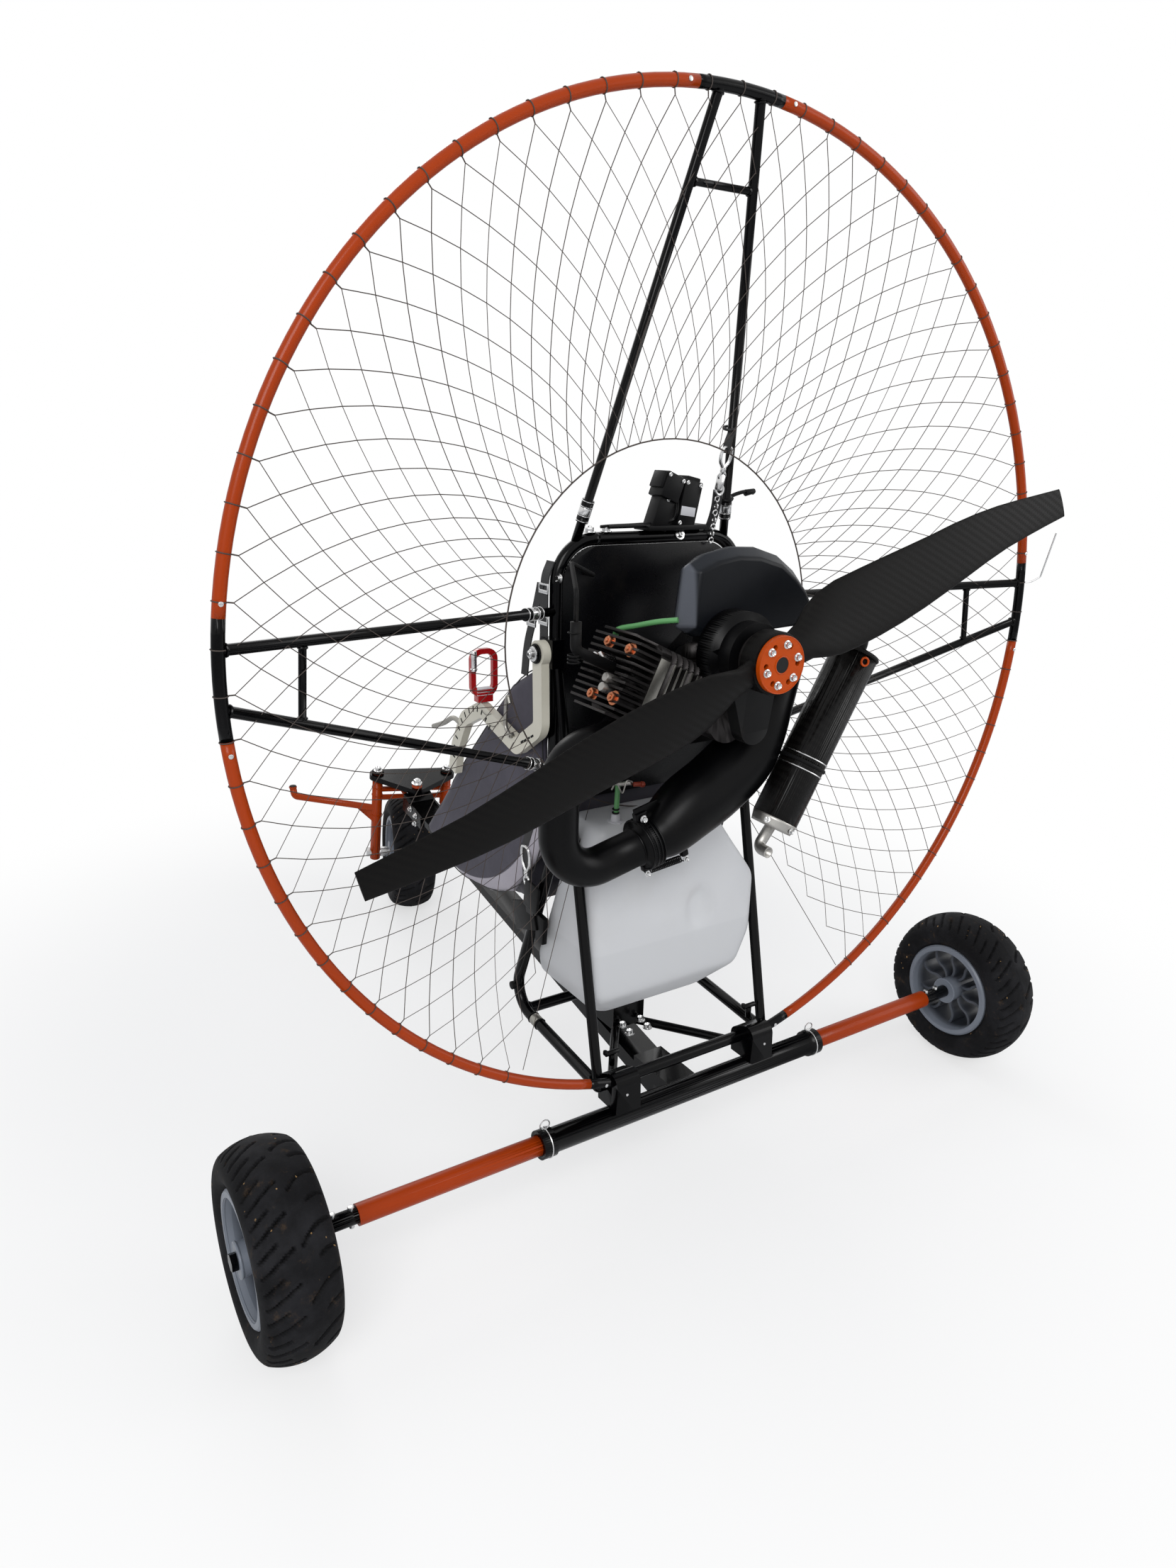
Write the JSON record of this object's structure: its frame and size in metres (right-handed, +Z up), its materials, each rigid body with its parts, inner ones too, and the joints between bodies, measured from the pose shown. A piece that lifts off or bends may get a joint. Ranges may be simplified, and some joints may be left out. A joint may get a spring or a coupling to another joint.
{
  "type": "ultralight aircraft",
  "caption": "Powered paraglider trike: caged pusher engine and propeller behind a harness seat on a keel with two rear wheels and a steered front wheel.",
  "frame": {"origin": "on the ground under the middle of the machine's overall length and width", "axes": "+X to the machine's right, +Y ahead, +Z up"},
  "size_m": [1.5526, 1.5484, 1.6541],
  "materials": {
    "gloss_black": "gloss",
    "orange_paint": "gloss",
    "orange_anodised": "satin",
    "dark_panel": "matt",
    "steel": "brushed",
    "cast_alloy": "cast",
    "rubber": "matt",
    "black_metal": "satin",
    "carbon": "gloss",
    "tank_plastic": "satin",
    "charcoal_cloth": "woven",
    "arm_paint": "satin",
    "red_anodised": "gloss",
    "rim_grey": "satin",
    "tyre": "matt",
    "green_hose": "satin",
    "aluminium": "cast"
  },
  "bodies": {
    "airframe": {"keel_beam": "gloss_black", "keel_bracket": "gloss_black", "axle_tube": "gloss_black", "axle_slides": "orange_paint", "stub_axles": "gloss_black", "axle_clamps": "gloss_black", "frame_side_right": "gloss_black", "frame_side_left": "gloss_black", "frame_cross_tubes": "gloss_black", "back_panel": "dark_panel", "control_boxes": "dark_panel", "hoop_stubs": "gloss_black", "line_hook": "steel", "crankcase": "cast_alloy", "cylinder": "cast_alloy", "cylinder_head": "cast_alloy", "plug_cap": "rubber", "plug_lead": "rubber", "engine_mounts": "rubber", "starter_drum": "black_metal", "pulley_cover": "dark_panel", "airbox": "dark_panel", "carburettor": "aluminium", "exhaust_header": "black_metal", "exhaust_chamber": "black_metal", "silencer": "carbon", "silencer_end": "aluminium", "exhaust_link": "black_metal", "fuel_tank": "tank_plastic", "fuel_hose": "green_hose", "seat_cushion": "charcoal_cloth", "seat_back": "charcoal_cloth", "harness_right": "charcoal_cloth", "harness_left": "charcoal_cloth", "arm_brackets": "gloss_black", "steering_head": "gloss_black", "hoop_upper_right": "orange_paint", "hoop_upper_left": "orange_paint", "hoop_lower_right": "orange_paint", "hoop_lower_left": "orange_paint", "spar_top": "gloss_black", "spar_right": "gloss_black", "spar_left": "gloss_black"},
    "propeller_set": {"propeller": "carbon", "hub_plate": "orange_anodised", "prop_flange": "cast_alloy"},
    "wheel_left": {"rim_left": "rim_grey", "tyre_left": "tyre"},
    "wheel_right": {"rim_right": "rim_grey", "tyre_right": "tyre"},
    "front_fork": {"fork": "orange_paint", "fork_clamp": "gloss_black", "front_axle": "steel"},
    "wheel_front": {"rim_front": "rim_grey", "tyre_front": "tyre"},
    "riser_arm_left": {"arm_left": "arm_paint", "carabiner_left": "red_anodised"},
    "riser_arm_right": {"arm_right": "arm_paint", "carabiner_right": "red_anodised"}
  },
  "joints": [
    {"name": "propeller_spin", "type": "hinge", "parent": "airframe", "child": "propeller_set", "pos_m": [0, -0.7473, 0.922], "axis": [0, 1, 0], "continuous": true},
    {"name": "wheel_left_spin", "type": "hinge", "parent": "airframe", "child": "wheel_left", "pos_m": [-0.715, -0.6233, 0.151], "axis": [1, 0, 0], "continuous": true},
    {"name": "wheel_right_spin", "type": "hinge", "parent": "airframe", "child": "wheel_right", "pos_m": [0.715, -0.6233, 0.151], "axis": [1, 0, 0], "continuous": true},
    {"name": "steering", "type": "hinge", "parent": "airframe", "child": "front_fork", "pos_m": [0, 0.5102, 0.354], "axis": [0, -0.1908, 0.9816], "range_deg": [-20, 50]},
    {"name": "wheel_front_spin", "type": "hinge", "parent": "front_fork", "child": "wheel_front", "pos_m": [0.01957, 0.62417, 0.15051], "axis": [0.9659, -0.2541, -0.0494], "continuous": true},
    {"name": "riser_arm_left_hinge", "type": "hinge", "parent": "airframe", "child": "riser_arm_left", "pos_m": [-0.205, -0.4593, 0.901], "axis": [1, 0, 0], "range_deg": [0, 35]},
    {"name": "riser_arm_right_hinge", "type": "hinge", "parent": "airframe", "child": "riser_arm_right", "pos_m": [0.205, -0.4593, 0.901], "axis": [1, 0, 0], "range_deg": [0, 35]}
  ]
}
